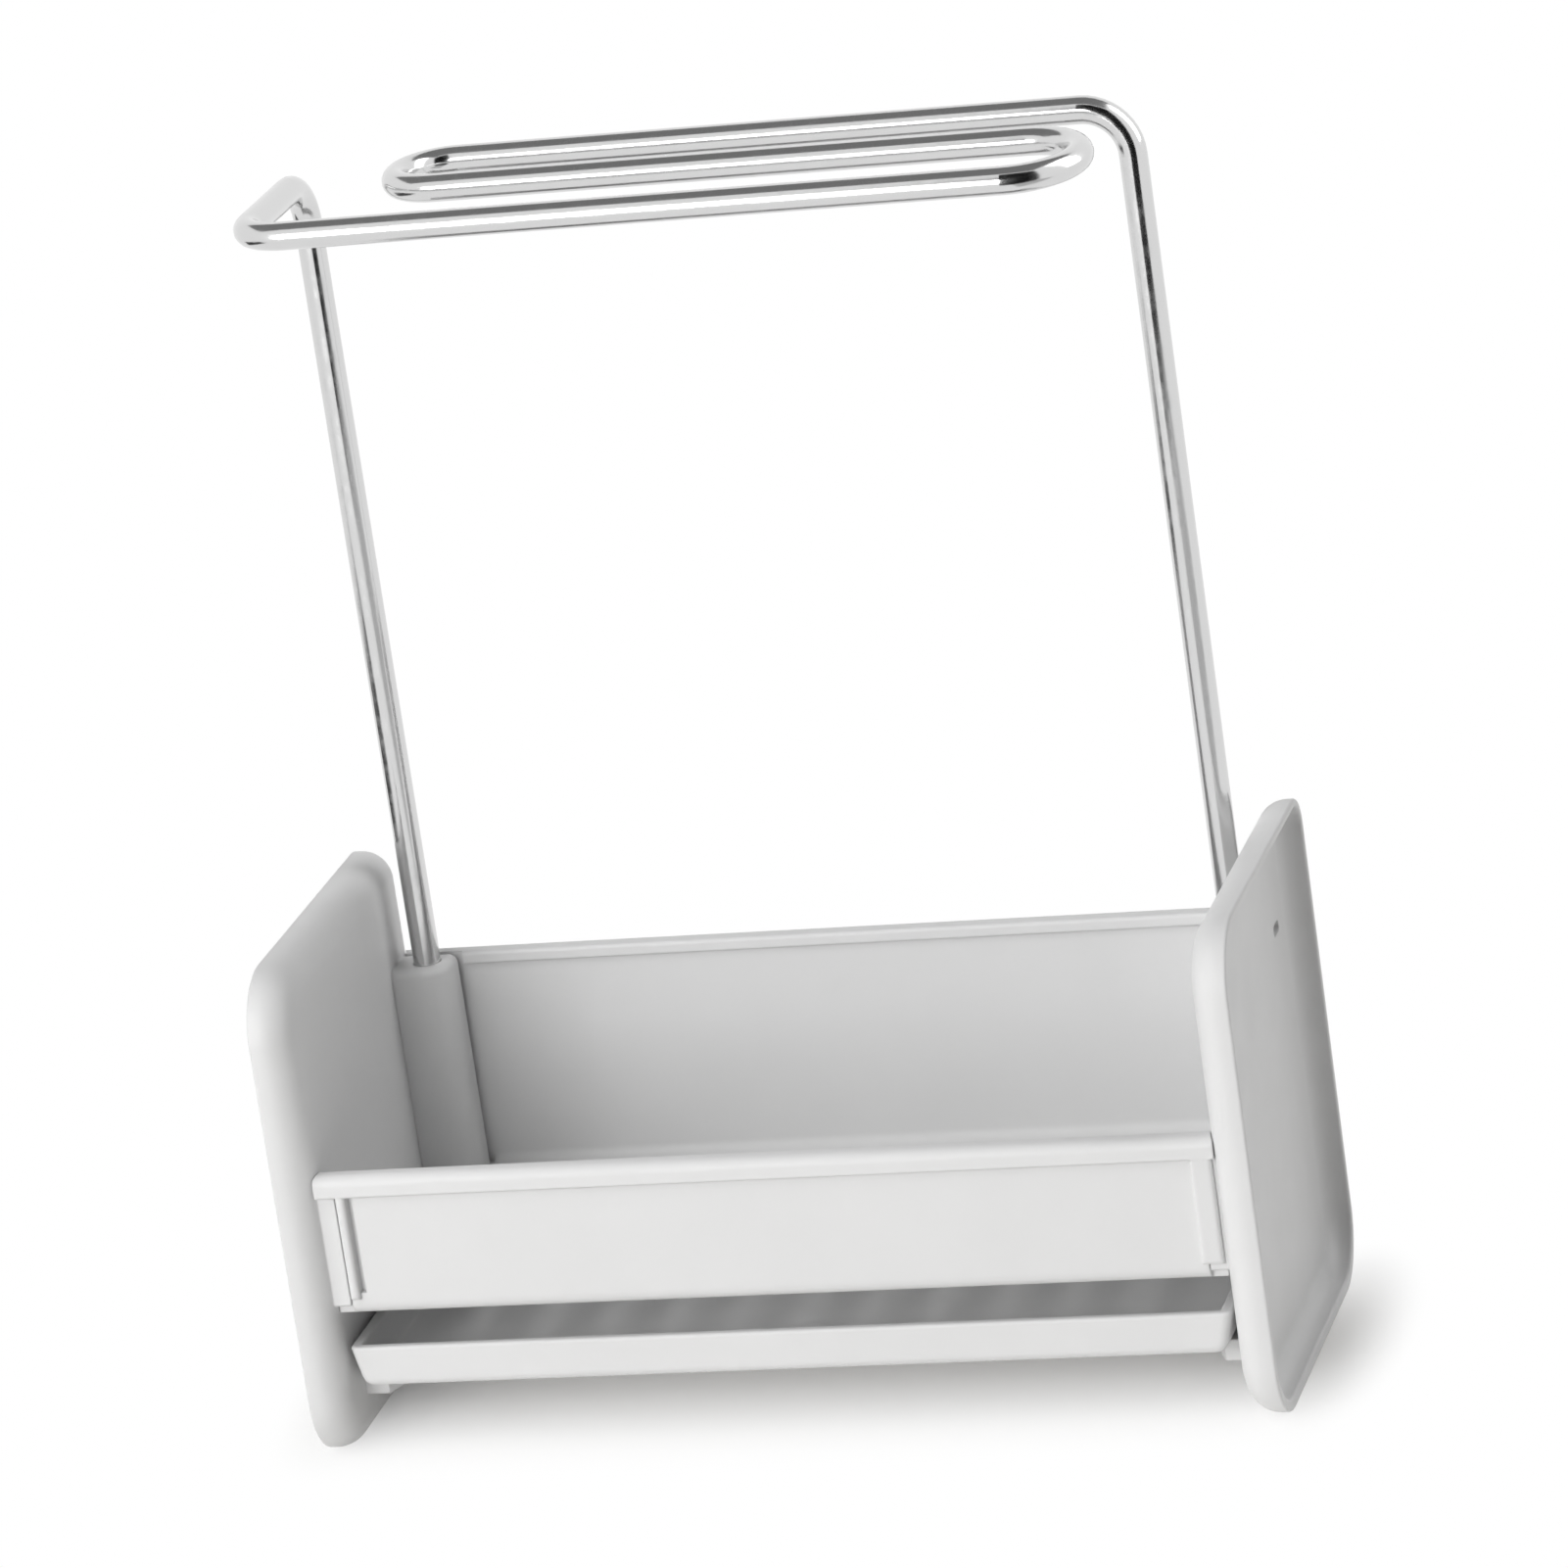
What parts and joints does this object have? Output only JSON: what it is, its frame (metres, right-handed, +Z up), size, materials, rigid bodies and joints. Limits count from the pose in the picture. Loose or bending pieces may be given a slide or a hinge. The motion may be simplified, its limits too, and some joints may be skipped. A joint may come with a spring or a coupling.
{
  "type": "sponge holder",
  "caption": "Sink caddy with a drained sponge trough between two upright end panels, a drip tray that slides out to the front and a lift-out wire rack for cloths.",
  "frame": {"origin": "on the worktop under the middle of the caddy, halfway between the end panels and halfway along their depth", "axes": "+X to the right along the trough, +Y to the back, +Z up"},
  "size_m": [0.176, 0.076, 0.2233],
  "materials": {
    "panel_plastic": "satin moulded, pale grey",
    "trough_plastic": "satin moulded, pale grey",
    "tray_plastic": "satin moulded, pale grey",
    "chromed_wire": "bright chrome plate on bent steel wire"
  },
  "bodies": {
    "caddy": {"left_end_panel": "panel_plastic", "right_end_panel": "panel_plastic", "sponge_trough": "trough_plastic"},
    "tray": {"drip_tray": "tray_plastic"},
    "rack": {"cloth_rack": "chromed_wire"}
  },
  "joints": [
    {"name": "tray_slide", "type": "slide", "parent": "caddy", "child": "tray", "axis": [0, -1, 0], "range_m": [0, 0.075]},
    {"name": "rack_lift", "type": "slide", "parent": "caddy", "child": "rack", "axis": [0, 0, 1], "range_m": [0, 0.04]}
  ]
}
